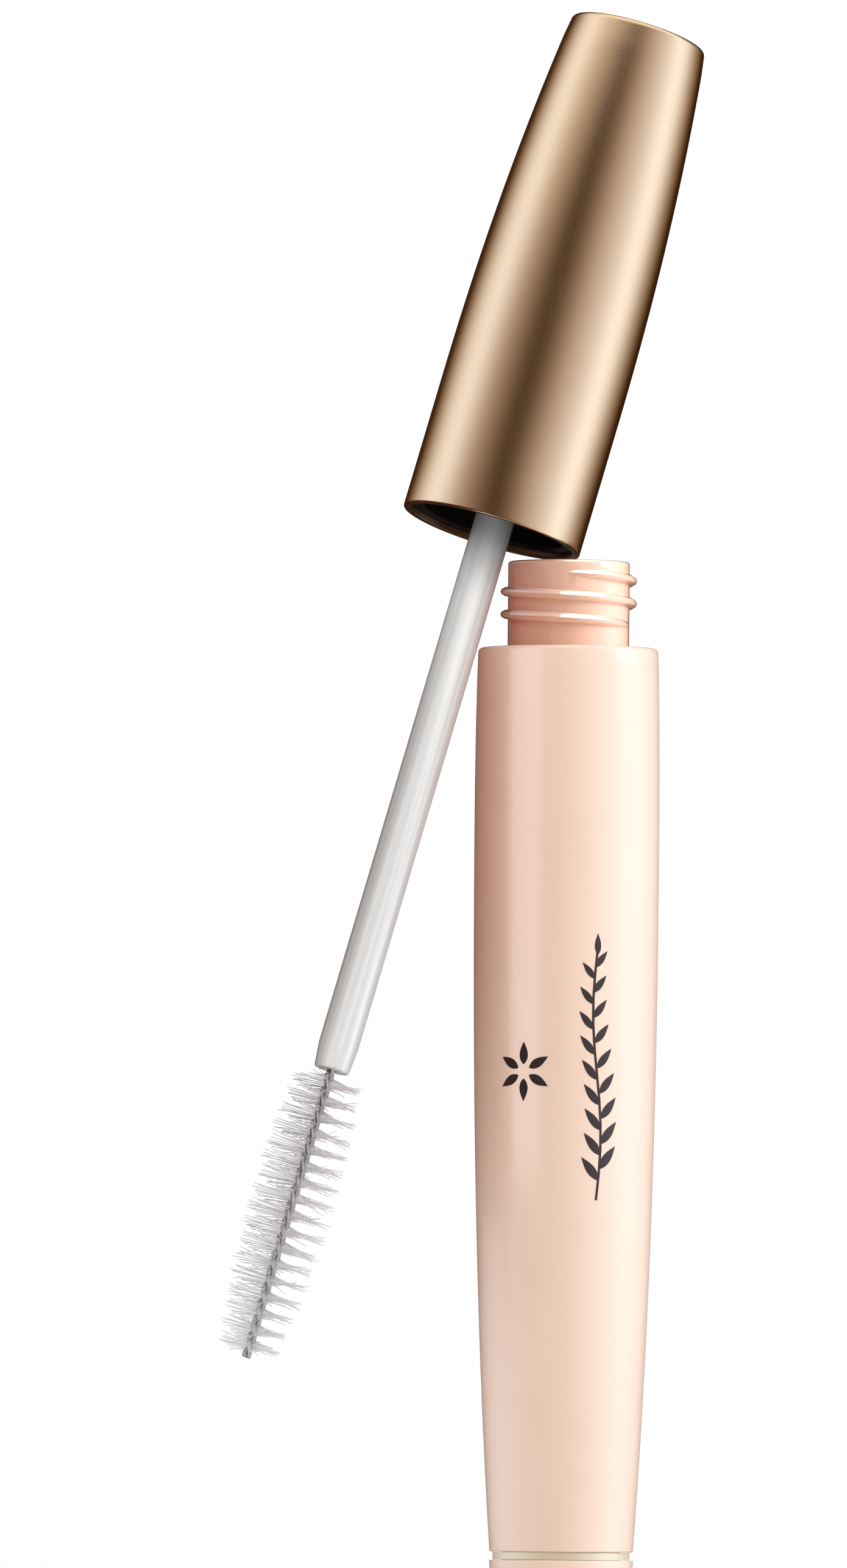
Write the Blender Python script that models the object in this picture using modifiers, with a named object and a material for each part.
"""Mascara tube: an upright bottle with a threaded neck, and its open applicator leaning on the neck.

Metres, +Z up. The origin is the centre of the base, on the surface that the tube stands on.
+X is to the right of the front view, +Y is away from it.
"""
from math import asin, cos, pi, radians, sin

import bmesh
import bpy
from mathutils import Vector

# Driving dimensions ---------------------------------------------------------------------------
SIDES = 36                 # facets round every turned piece
GAP = 0.0003               # clearance between pieces that sit against each other

SHOULDER_Z = 0.0830        # top face of the barrel
BARREL_RADIUS = 0.0081     # widest place of the barrel
BARREL_WIDEST_Z = 0.0680   # height of the widest place
SHOULDER_DROP = 0.0002     # the barrel narrows by this much from its widest place to the shoulder
FOOT_DROP = 0.00174        # and by this much down to the foot
FOOT_SPAN = 0.0630
FOOT_POWER = 2.4           # how late the barrel starts to narrow
SLEEVE_BOTTOM_Z = 0.0038
SLEEVE_WALL = 0.00085
SHOULDER_EDGE = 0.0003     # edge radius at the shoulder
SHOULDER_THICKNESS = 0.0010

NECK_TOP_Z = 0.0906
NECK_RADIUS = 0.00533      # at the root of the thread
THREAD_HEIGHT = 0.00067    # from root to crest
THREAD_PITCH = 0.0020
THREAD_TURNS = 2.15
THREAD_CREST = 0.0002      # half width of the ridge at its crest
THREAD_ROOT = 0.00042      # and at its root
THREAD_STEPS = 28          # sections in one turn
THREAD_FADE = 5            # sections over which a ridge grows out of the wall
NECK_THREAD_Z = 0.08945    # middle of the ridge where it starts, at the front

BOTTLE_WALL = 0.0009
BOTTLE_CLEARANCE = 0.00045  # between bottle and sleeve
BOTTLE_SHOULDER_Z = 0.0817
BOTTLE_STEP_Z = 0.0120     # where the bottle narrows to its foot
BOTTLE_FOOT_RADIUS = 0.0043
BOTTLE_FOOT_Z = 0.0050
NECK_BORE = 0.0044
NECK_SEAT_BORE = 0.00475   # wider seat for the wiper's flange
NECK_SEAT_DEPTH = 0.0010

WIPER_RADIUS = 0.0041
WIPER_WALL = 0.0006
WIPER_FLANGE_RADIUS = 0.00445
WIPER_FLANGE = 0.0006      # thickness
WIPER_CONE_Z = 0.0810      # the straight sleeve ends and the cone starts
WIPER_LIP_Z = 0.0765
WIPER_LIP_RADIUS = 0.00195

PLUG_TOP_Z = 0.0031
PLUG_TOP_RADIUS = 0.00630
PLUG_BOTTOM_RADIUS = 0.00616
PLUG_EDGE = 0.0003
PLUG_FLOOR_Z = 0.0020
SPIGOT_RADIUS = 0.00515    # the collar that grips inside the sleeve
SPIGOT_WALL = 0.00055
SPIGOT_TOP_Z = 0.0086
RING_RADIUS = 0.0060
RING_INNER_RADIUS = 0.00545
RING_GAP = 0.00012         # above and below the trim ring

# The applicator is drawn along its own axis, with 0 at the rim of the cap and the brush below.
LEAN_RIGHT = radians(15.97)
LEAN_BACK = radians(7.0)
RIM_X = -0.00685           # middle of the rim
RIM_Y = 0.00012
REST_GAP = 0.0002          # between the rim's lowest point and the neck's top

CAP_LENGTH = 0.0464
CAP_RADIUS = 0.00803
CAP_STRAIGHT = 0.0120      # the cap is straight up to here
CAP_DROP = 0.00189
CAP_SPAN = 0.0340
CAP_POWER = 2.15
CAP_WALL = 0.0007
CAP_TOP = 0.0009
CAP_TOP_EDGE = 0.00045
CAP_RIM_EDGE = 0.00015

INNER_RECESS = 0.0005      # the inner cap stands back from the rim
INNER_BORE = 0.0063
INNER_CREST = 0.00563      # inner radius at the crest of its thread
INNER_WEB = 0.0089         # underside of the web that the wand passes through
INNER_TOP = 0.0104
SOCKET_RADIUS = 0.0032
SOCKET_BORE = 0.00205
SOCKET_TOP = 0.0160
SOCKET_CAP = 0.0008
INNER_THREAD_START = 0.0066

SEAL_RADIUS = 0.0053
SEAL_BORE = 0.00215
SEAL_BOTTOM = 0.0079
SEAL_TOP = 0.0086

WAND_RADIUS = 0.00175
WAND_END = -0.0498
WAND_CHAMFER = 0.0018
WAND_END_RADIUS = 0.00145
WIRE_HOLE = 0.00075
WIRE_HOLE_END = -0.0418

WIRE_RADIUS = 0.00045      # round both strands
WIRE_TWIST = 0.0030        # length of one turn
WIRE_TIP = -0.0761
WIRE_STEPS = 8             # sections in one turn
BRISTLE_END = -0.0756
BRISTLE_HOLE = 0.0006
BRISTLE_CORE = 0.00085
BRISTLE_ROOT_RADIUS = 0.00325
BRISTLE_BELLY_RADIUS = 0.0039
BRISTLE_TIP_RADIUS = 0.00275
BRISTLE_STEPS = 9          # sections in one turn
BRISTLE_HALF_WIDTH = radians(23)

AXIS = Vector((sin(LEAN_RIGHT) * cos(LEAN_BACK), sin(LEAN_BACK), cos(LEAN_RIGHT) * cos(LEAN_BACK)))
RIM_Z = NECK_TOP_Z + REST_GAP + CAP_RADIUS * (1 - AXIS.z ** 2) ** 0.5


# Scene, materials and shared shape makers -----------------------------------------------------
def clear_scene():
    for thing in list(bpy.data.objects):
        bpy.data.objects.remove(thing, do_unlink=True)


def new_collection(name):
    group = bpy.data.collections.new(name)
    bpy.context.scene.collection.children.link(group)
    return group


def finish(piece, colour, roughness, metallic=0.0, transmission=0.0):
    """Give a piece its own Principled material and round shading."""
    material = bpy.data.materials.new(piece.name + "_finish")
    material.use_nodes = True
    shader = material.node_tree.nodes["Principled BSDF"]
    shader.inputs["Base Color"].default_value = (*colour, 1.0)
    shader.inputs["Roughness"].default_value = roughness
    shader.inputs["Metallic"].default_value = metallic
    shader.inputs["Transmission Weight"].default_value = transmission
    piece.data.materials.append(material)
    piece.data.shade_smooth()
    return piece


def new_object(name, mesh, group, parent):
    thing = bpy.data.objects.new(name, mesh)
    group.objects.link(thing)
    thing.parent = parent
    return thing


def arc(centre, radius, start, end, count):
    """Points of a round corner, from the start angle to the end angle in degrees."""
    steps = [radians(start + (end - start) * i / count) for i in range(count + 1)]
    return [(centre[0] + radius * cos(a), centre[1] + radius * sin(a)) for a in steps]


def between(start, end, count):
    return [start + (end - start) * i / count for i in range(count + 1)]


def turned(name, profile, group, parent=None, closed=False):
    """A profile of (radius, height) points, turned about Z with a Screw modifier."""
    edges = [(i, i + 1) for i in range(len(profile) - 1)]
    if closed:
        edges.append((len(profile) - 1, 0))
    mesh = bpy.data.meshes.new(name)
    mesh.from_pydata([(r, 0.0, z) for r, z in profile], edges, [])
    piece = new_object(name, mesh, group, parent)
    screw = piece.modifiers.new("turn", "SCREW")
    screw.steps = screw.render_steps = SIDES
    screw.use_merge_vertices = True
    screw.merge_threshold = 0.00001
    screw.use_smooth_shade = True
    return piece


def loft(name, sections, group, parent=None):
    """A closed skin through loops of points, with a flat face on each end."""
    mesh = bpy.data.meshes.new(name)
    shape = bmesh.new()
    loops = [[shape.verts.new(point) for point in section] for section in sections]
    count = len(loops[0])
    for low, high in zip(loops, loops[1:]):
        for i in range(count):
            j = (i + 1) % count
            shape.faces.new((low[i], low[j], high[j], high[i]))
    shape.faces.new(loops[0][::-1])
    shape.faces.new(loops[-1])
    bmesh.ops.recalc_face_normals(shape, faces=shape.faces)
    shape.to_mesh(mesh)
    shape.free()
    return new_object(name, mesh, group, parent)


def thread_ridge(name, wall, crest, start_z, group, parent=None):
    """A ridge that winds down as it goes round, and fades into the wall at both ends."""
    steps = round(THREAD_TURNS * THREAD_STEPS)
    inside = 0.0002 if crest > wall else -0.0002
    sections = []
    for i in range(steps + 1):
        angle = -pi / 2 + 2 * pi * i / THREAD_STEPS
        z = start_z - THREAD_PITCH * i / THREAD_STEPS
        grown = min(1.0, (0.15 + min(i, steps - i)) / THREAD_FADE)
        reach = wall + (crest - wall) * grown
        outline = [(wall - inside, THREAD_ROOT), (reach, THREAD_CREST),
                   (reach, -THREAD_CREST), (wall - inside, -THREAD_ROOT)]
        sections.append([(r * cos(angle), r * sin(angle), z + dz) for r, dz in outline])
    ridge = loft(name, sections, group, parent)
    ridge.hide_render = True
    ridge.display_type = "WIRE"
    return ridge


def join(piece, ridge):
    union = piece.modifiers.new("thread", "BOOLEAN")
    union.operation = "UNION"
    union.solver = "EXACT"
    union.object = ridge


# The tube ---------------------------------------------------------------------------------------
def barrel_radius(z):
    if z > BARREL_WIDEST_Z:
        share = (z - BARREL_WIDEST_Z) / (SHOULDER_Z - BARREL_WIDEST_Z)
        return BARREL_RADIUS - SHOULDER_DROP * share ** 2
    return BARREL_RADIUS - FOOT_DROP * ((BARREL_WIDEST_Z - z) / FOOT_SPAN) ** FOOT_POWER


def make_barrel_sleeve(parts):
    """The glossy outer barrel: a tapered shell with a flat shoulder round the neck."""
    top_radius = barrel_radius(SHOULDER_Z)
    corner = arc((top_radius - SHOULDER_EDGE, SHOULDER_Z - SHOULDER_EDGE), SHOULDER_EDGE, 90, 0, 3)
    heights = between(BARREL_WIDEST_Z, SLEEVE_BOTTOM_Z, 11)
    outside = [(barrel_radius(z), z) for z in [SHOULDER_Z - 0.006] + heights]
    under_shoulder = SHOULDER_Z - SHOULDER_THICKNESS
    inner = [(barrel_radius(z) - SLEEVE_WALL, z)
             for z in between(SLEEVE_BOTTOM_Z, BARREL_WIDEST_Z, 8) + [under_shoulder]]
    hole = NECK_RADIUS + GAP
    profile = [(hole, SHOULDER_Z)] + corner + outside + inner + [(hole, under_shoulder)]
    piece = turned("barrel_sleeve", profile, parts, closed=True)
    return finish(piece, (0.81, 0.62, 0.50), 0.22)


def make_bottle(parts, tools):
    """The inner vial with the threaded neck, which holds the product."""
    def body(z):
        return barrel_radius(z) - SLEEVE_WALL - BOTTLE_CLEARANCE

    heights = between(BOTTLE_SHOULDER_Z - 0.001, BOTTLE_STEP_Z, 6)
    foot = BOTTLE_FOOT_RADIUS
    foot_top = BOTTLE_STEP_Z - 0.0015
    outside = [(NECK_RADIUS - 0.0002, NECK_TOP_Z), (NECK_RADIUS, NECK_TOP_Z - 0.0002),
               (NECK_RADIUS, BOTTLE_SHOULDER_Z), (body(BOTTLE_SHOULDER_Z) - 0.0008, BOTTLE_SHOULDER_Z)]
    outside += [(body(z), z) for z in heights]
    outside += [(foot, foot_top), (foot, BOTTLE_FOOT_Z + 0.0006), (foot - 0.0006, BOTTLE_FOOT_Z)]
    outside += [(0.0, BOTTLE_FOOT_Z)]
    floor = BOTTLE_FOOT_Z + BOTTLE_WALL
    inside = [(0.0, floor), (foot - BOTTLE_WALL - 0.0006, floor),
              (foot - BOTTLE_WALL, floor + 0.0006), (foot - BOTTLE_WALL, foot_top + 0.0003)]
    inside += [(body(z) - BOTTLE_WALL, z + 0.0002) for z in heights[::-1]]
    inside += [(NECK_BORE, BOTTLE_SHOULDER_Z), (NECK_BORE, NECK_TOP_Z - NECK_SEAT_DEPTH),
               (NECK_SEAT_BORE, NECK_TOP_Z - NECK_SEAT_DEPTH), (NECK_SEAT_BORE, NECK_TOP_Z)]
    profile = outside + inside
    piece = turned("bottle", profile, parts, closed=True)
    crest = NECK_RADIUS + THREAD_HEIGHT
    join(piece, thread_ridge("neck_thread_guide", NECK_RADIUS, crest, NECK_THREAD_Z, tools))
    return finish(piece, (0.81, 0.62, 0.50), 0.25)


def make_wiper(parts):
    """The soft insert in the neck, whose lip wipes the wand and the brush."""
    flange_top = NECK_TOP_Z - 0.0001
    flange_under = flange_top - WIPER_FLANGE
    bore = WIPER_RADIUS - WIPER_WALL
    profile = [(bore, flange_top), (WIPER_FLANGE_RADIUS, flange_top),
               (WIPER_FLANGE_RADIUS, flange_under), (WIPER_RADIUS, flange_under),
               (WIPER_RADIUS, WIPER_CONE_Z), (WIPER_LIP_RADIUS + 0.0004, WIPER_LIP_Z),
               (WIPER_LIP_RADIUS, WIPER_LIP_Z), (bore, WIPER_CONE_Z + 0.0004)]
    return finish(turned("wiper", profile, parts, closed=True), (0.75, 0.75, 0.74), 0.45)


def make_trim_ring(parts):
    """The thin metal-coloured ring in the groove above the base."""
    top = SLEEVE_BOTTOM_Z - RING_GAP
    bottom = PLUG_TOP_Z + RING_GAP
    profile = [(RING_INNER_RADIUS, top), (RING_RADIUS, top),
               (RING_RADIUS, bottom), (RING_INNER_RADIUS, bottom)]
    return finish(turned("trim_ring", profile, parts, closed=True), (0.66, 0.52, 0.36), 0.3, 1.0)


def make_base_plug(parts):
    """The plug that closes the foot, with a collar that grips inside the sleeve."""
    spigot_bore = SPIGOT_RADIUS - SPIGOT_WALL
    corner = arc((PLUG_BOTTOM_RADIUS - PLUG_EDGE, PLUG_EDGE), PLUG_EDGE, 0, -90, 3)
    profile = [(0.0, PLUG_FLOOR_Z), (spigot_bore, PLUG_FLOOR_Z), (spigot_bore, SPIGOT_TOP_Z),
               (SPIGOT_RADIUS, SPIGOT_TOP_Z), (SPIGOT_RADIUS, PLUG_TOP_Z),
               (PLUG_TOP_RADIUS - 0.0001, PLUG_TOP_Z), (PLUG_TOP_RADIUS, PLUG_TOP_Z - 0.0001)]
    profile += corner + [(0.0, 0.0)]
    return finish(turned("base_plug", profile, parts), (0.81, 0.62, 0.50), 0.25)


# The applicator -----------------------------------------------------------------------------------
def make_applicator_axis(parts):
    """An empty at the middle of the rim, turned so that its Z runs up the cap."""
    empty = bpy.data.objects.new("applicator_axis", None)
    empty.empty_display_size = 0.01
    empty.location = (RIM_X, RIM_Y, RIM_Z)
    empty.rotation_euler = AXIS.to_track_quat("Z", "Y").to_euler()
    parts.objects.link(empty)
    return empty


def cap_radius(z):
    return CAP_RADIUS - CAP_DROP * (max(0.0, z - CAP_STRAIGHT) / CAP_SPAN) ** CAP_POWER


def make_cap_shell(parts, axis):
    """The satin metal over-cap: one thin drawn shell, open at the rim."""
    top_radius = cap_radius(CAP_LENGTH)
    corner = arc((top_radius - CAP_TOP_EDGE, CAP_LENGTH - CAP_TOP_EDGE), CAP_TOP_EDGE, 90, 0, 3)
    heights = between(CAP_LENGTH - 0.004, CAP_STRAIGHT, 7)
    outside = [(cap_radius(z), z) for z in heights] + [(CAP_RADIUS, CAP_RIM_EDGE)]
    rim = [(CAP_RADIUS - CAP_RIM_EDGE, 0.0), (CAP_RADIUS - CAP_WALL, 0.0)]
    ceiling = CAP_LENGTH - CAP_TOP
    inside = [(cap_radius(z) - CAP_WALL, z) for z in between(CAP_STRAIGHT, ceiling, 5)]
    profile = [(0.0, CAP_LENGTH)] + corner + outside + rim + inside + [(0.0, ceiling)]
    return finish(turned("cap_shell", profile, parts, axis), (0.42, 0.30, 0.19), 0.3, 1.0)


def make_inner_cap(parts, tools, axis):
    """The black liner with the thread that screws on the neck and the socket for the wand."""
    outer = CAP_RADIUS - CAP_WALL - GAP
    profile = [(0.0, SOCKET_TOP), (SOCKET_RADIUS, SOCKET_TOP), (SOCKET_RADIUS, INNER_TOP),
               (outer, INNER_TOP), (outer, INNER_RECESS), (INNER_BORE, INNER_RECESS),
               (INNER_BORE, INNER_WEB), (SOCKET_BORE, INNER_WEB),
               (SOCKET_BORE, SOCKET_TOP - SOCKET_CAP), (0.0, SOCKET_TOP - SOCKET_CAP)]
    piece = turned("inner_cap", profile, parts, axis)
    ridge = thread_ridge("cap_thread_guide", INNER_BORE, INNER_CREST, INNER_THREAD_START, tools, axis)
    join(piece, ridge)
    return finish(piece, (0.01, 0.01, 0.012), 0.4)


def make_seal_ring(parts, axis):
    """The loose washer that the neck presses on when the tube is closed."""
    profile = [(SEAL_BORE, SEAL_TOP), (SEAL_RADIUS, SEAL_TOP),
               (SEAL_RADIUS, SEAL_BOTTOM), (SEAL_BORE, SEAL_BOTTOM)]
    return finish(turned("seal_ring", profile, parts, axis, closed=True), (0.7, 0.7, 0.7), 0.6)


def make_wand_stem(parts, axis):
    """The round moulded stem, fixed in the liner's socket and drilled for the wire."""
    profile = [(0.0, SOCKET_TOP - SOCKET_CAP - GAP), (WAND_RADIUS, SOCKET_TOP - SOCKET_CAP - GAP),
               (WAND_RADIUS, WAND_END + WAND_CHAMFER), (WAND_END_RADIUS, WAND_END),
               (WIRE_HOLE, WAND_END), (WIRE_HOLE, WIRE_HOLE_END), (0.0, WIRE_HOLE_END)]
    return finish(turned("wand_stem", profile, parts, axis), (0.72, 0.72, 0.73), 0.3, 0.0, 0.2)


def make_brush_wire(parts, axis):
    """The core wire: one wire folded in two and twisted, drawn as a two-lobed twisted bar."""
    lobe = WIRE_RADIUS / 2
    outline = [(lobe + lobe * cos(a), lobe * sin(a)) for a in (radians(d) for d in (-120, -40, 40, 120))]
    outline += [(-x, -y) for x, y in outline]
    top = WIRE_HOLE_END - GAP
    turns = (top - WIRE_TIP) / WIRE_TWIST
    count = round(turns * WIRE_STEPS)
    sections = []
    for i in range(count + 1):
        turn = -2 * pi * turns * i / count
        z = WIRE_TIP + (top - WIRE_TIP) * i / count
        sections.append([(x * cos(turn) - y * sin(turn), x * sin(turn) + y * cos(turn), z)
                         for x, y in outline])
    return finish(loft("brush_wire", sections, parts, axis), (0.42, 0.42, 0.43), 0.35, 1.0)


def bristle_radius(share):
    """Radius of the brush at a share of its length, from the root to the tip."""
    if share < 0.4:
        rise = sin(pi / 2 * share / 0.4)
        return BRISTLE_ROOT_RADIUS + (BRISTLE_BELLY_RADIUS - BRISTLE_ROOT_RADIUS) * rise
    fall = max(0.0, share - 0.6) / 0.4
    return BRISTLE_BELLY_RADIUS - (BRISTLE_BELLY_RADIUS - BRISTLE_TIP_RADIUS) * fall ** 1.6


def make_bristles(parts, tools, axis):
    """The fibres, drawn as the two winding rows that they stand in round the wire."""
    top = WAND_END - GAP
    turns = (top - BRISTLE_END) / WIRE_TWIST
    count = round(turns * BRISTLE_STEPS)
    half = BRISTLE_HALF_WIDTH
    sections = []
    for i in range(count + 1):
        share = 1 - i / count
        z = BRISTLE_END + (top - BRISTLE_END) * i / count
        turn = -2 * pi * turns * i / count
        reach = bristle_radius(share)
        row = [(BRISTLE_CORE, -half), (reach, -half), (reach, half), (BRISTLE_CORE, half),
               (BRISTLE_CORE, pi / 2)]
        outline = row + [(r, a + pi) for r, a in row]
        sections.append([(r * cos(a + turn), r * sin(a + turn), z) for r, a in outline])
    piece = loft("bristles", sections, parts, axis)
    bore = turned("wire_bore_cutter", [(0.0, top + GAP), (BRISTLE_HOLE, top + GAP),
                                       (BRISTLE_HOLE, BRISTLE_END - GAP), (0.0, BRISTLE_END - GAP)],
                  tools, axis)
    bore.modifiers["turn"].steps = bore.modifiers["turn"].render_steps = 8
    bore.hide_render = True
    bore.display_type = "WIRE"
    cut = piece.modifiers.new("wire_bore", "BOOLEAN")
    cut.operation = "DIFFERENCE"
    cut.solver = "EXACT"
    cut.object = bore
    return finish(piece, (0.78, 0.78, 0.78), 0.4)


def build():
    clear_scene()
    parts = new_collection("mascara_tube")
    tools = new_collection("cutters")
    make_barrel_sleeve(parts)
    make_bottle(parts, tools)
    make_wiper(parts)
    make_trim_ring(parts)
    make_base_plug(parts)
    axis = make_applicator_axis(parts)
    make_cap_shell(parts, axis)
    make_inner_cap(parts, tools, axis)
    make_seal_ring(parts, axis)
    make_wand_stem(parts, axis)
    make_brush_wire(parts, axis)
    make_bristles(parts, tools, axis)


build()
